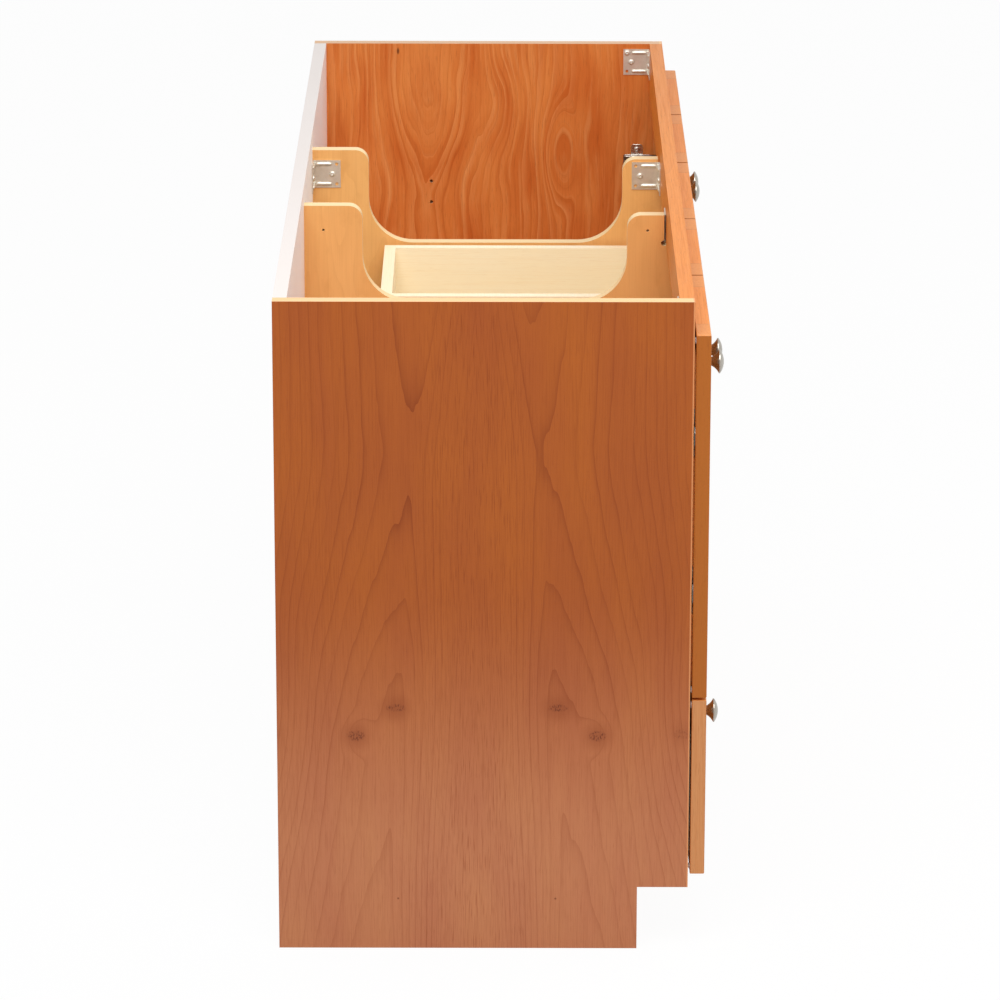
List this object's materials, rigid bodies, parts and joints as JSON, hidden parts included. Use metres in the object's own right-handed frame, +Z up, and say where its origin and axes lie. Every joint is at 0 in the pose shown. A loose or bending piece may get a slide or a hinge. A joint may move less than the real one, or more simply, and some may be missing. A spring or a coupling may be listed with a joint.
{
  "type": "bathroom vanity cabinet",
  "caption": "Long free-standing vanity cabinet, open on top for basins, with framed wooden doors over wide drawers, a column of drawers in the middle and round knobs.",
  "frame": {"origin": "on the floor under the middle of the whole outline, knobs included", "axes": "+X along the length, front towards -Y, +Z up"},
  "size_m": [1.524, 0.5824, 0.8763],
  "materials": {
    "stained_veneer": "satin lacquer",
    "stained_wood": "satin lacquer",
    "birch_board": "clear satin lacquer",
    "white_board": "white film",
    "zinc_plated_steel": "zinc plated",
    "nickel_plated_steel": "nickel plated",
    "satin_nickel": "satin nickel"
  },
  "bodies": {
    "case": {"left_end_panel": "stained_veneer", "right_end_panel": "stained_veneer", "end_panel_edge_bands": "stained_wood", "back_panel": "white_board", "bottom_panel": "birch_board", "toe_kick_board": "stained_wood", "left_partition": "birch_board", "right_partition": "birch_board", "front_top_rail": "stained_wood", "left_bay_shelf": "birch_board", "right_bay_shelf": "birch_board", "corner_brackets": "zinc_plated_steel", "hinge_mounting_plates": "nickel_plated_steel", "hinge_arms": "nickel_plated_steel", "hinge_pins": "nickel_plated_steel", "slide_case_members": "zinc_plated_steel"},
    "left_outer_door": {"left_outer_door_frame": "stained_wood", "left_outer_door_panel": "stained_veneer", "left_outer_door_hinge_cups": "nickel_plated_steel", "left_outer_door_knob": "satin_nickel"},
    "left_inner_door": {"left_inner_door_frame": "stained_wood", "left_inner_door_panel": "stained_veneer", "left_inner_door_hinge_cups": "nickel_plated_steel", "left_inner_door_knob": "satin_nickel"},
    "right_inner_door": {"right_inner_door_frame": "stained_wood", "right_inner_door_panel": "stained_veneer", "right_inner_door_hinge_cups": "nickel_plated_steel", "right_inner_door_knob": "satin_nickel"},
    "right_outer_door": {"right_outer_door_frame": "stained_wood", "right_outer_door_panel": "stained_veneer", "right_outer_door_hinge_cups": "nickel_plated_steel", "right_outer_door_knob": "satin_nickel"},
    "upper_middle_drawer": {"upper_middle_drawer_front_frame": "stained_wood", "upper_middle_drawer_front_panel": "stained_veneer", "upper_middle_drawer_box": "birch_board", "upper_middle_drawer_slide_members": "zinc_plated_steel", "upper_middle_drawer_knob": "satin_nickel"},
    "upper_middle_drawer_carriages": {"upper_middle_drawer_slide_carriages": "zinc_plated_steel"},
    "lower_middle_drawer": {"lower_middle_drawer_front_frame": "stained_wood", "lower_middle_drawer_front_panel": "stained_veneer", "lower_middle_drawer_box": "birch_board", "lower_middle_drawer_slide_members": "zinc_plated_steel", "lower_middle_drawer_knob": "satin_nickel"},
    "lower_middle_drawer_carriages": {"lower_middle_drawer_slide_carriages": "zinc_plated_steel"},
    "left_bottom_drawer": {"left_bottom_drawer_front_frame": "stained_wood", "left_bottom_drawer_front_panel": "stained_veneer", "left_bottom_drawer_box": "birch_board", "left_bottom_drawer_slide_members": "zinc_plated_steel", "left_bottom_drawer_knob": "satin_nickel"},
    "left_bottom_drawer_carriages": {"left_bottom_drawer_slide_carriages": "zinc_plated_steel"},
    "right_bottom_drawer": {"right_bottom_drawer_front_frame": "stained_wood", "right_bottom_drawer_front_panel": "stained_veneer", "right_bottom_drawer_box": "birch_board", "right_bottom_drawer_slide_members": "zinc_plated_steel", "right_bottom_drawer_knob": "satin_nickel"},
    "right_bottom_drawer_carriages": {"right_bottom_drawer_slide_carriages": "zinc_plated_steel"}
  },
  "joints": [
    {"name": "left_outer_door_hinge", "type": "hinge", "parent": "case", "child": "left_outer_door", "pos_m": [-0.7518, -0.2549, 0.58915], "axis": [0, 0, -1], "range_deg": [0, 95]},
    {"name": "left_inner_door_hinge", "type": "hinge", "parent": "case", "child": "left_inner_door", "pos_m": [-0.1711, -0.2549, 0.58915], "axis": [0, 0, 1], "range_deg": [0, 86]},
    {"name": "right_inner_door_hinge", "type": "hinge", "parent": "case", "child": "right_inner_door", "pos_m": [0.1711, -0.2549, 0.58915], "axis": [0, 0, -1], "range_deg": [0, 86]},
    {"name": "right_outer_door_hinge", "type": "hinge", "parent": "case", "child": "right_outer_door", "pos_m": [0.7518, -0.2549, 0.58915], "axis": [0, 0, 1], "range_deg": [0, 95]},
    {"name": "upper_middle_drawer_slide", "type": "slide", "parent": "case", "child": "upper_middle_drawer", "axis": [0, -1, 0], "range_m": [0, 0.39]},
    {"name": "upper_middle_drawer_carriage_slide", "type": "slide", "parent": "case", "child": "upper_middle_drawer_carriages", "axis": [0, -1, 0], "range_m": [0, 0.195]},
    {"name": "lower_middle_drawer_slide", "type": "slide", "parent": "case", "child": "lower_middle_drawer", "axis": [0, -1, 0], "range_m": [0, 0.39]},
    {"name": "lower_middle_drawer_carriage_slide", "type": "slide", "parent": "case", "child": "lower_middle_drawer_carriages", "axis": [0, -1, 0], "range_m": [0, 0.195]},
    {"name": "left_bottom_drawer_slide", "type": "slide", "parent": "case", "child": "left_bottom_drawer", "axis": [0, -1, 0], "range_m": [0, 0.39]},
    {"name": "left_bottom_drawer_carriage_slide", "type": "slide", "parent": "case", "child": "left_bottom_drawer_carriages", "axis": [0, -1, 0], "range_m": [0, 0.195]},
    {"name": "right_bottom_drawer_slide", "type": "slide", "parent": "case", "child": "right_bottom_drawer", "axis": [0, -1, 0], "range_m": [0, 0.39]},
    {"name": "right_bottom_drawer_carriage_slide", "type": "slide", "parent": "case", "child": "right_bottom_drawer_carriages", "axis": [0, -1, 0], "range_m": [0, 0.195]}
  ],
  "couplings": [
    {"joint": "upper_middle_drawer_carriage_slide", "follows": "upper_middle_drawer_slide", "ratio": 0.5},
    {"joint": "lower_middle_drawer_carriage_slide", "follows": "lower_middle_drawer_slide", "ratio": 0.5},
    {"joint": "left_bottom_drawer_carriage_slide", "follows": "left_bottom_drawer_slide", "ratio": 0.5},
    {"joint": "right_bottom_drawer_carriage_slide", "follows": "right_bottom_drawer_slide", "ratio": 0.5}
  ]
}
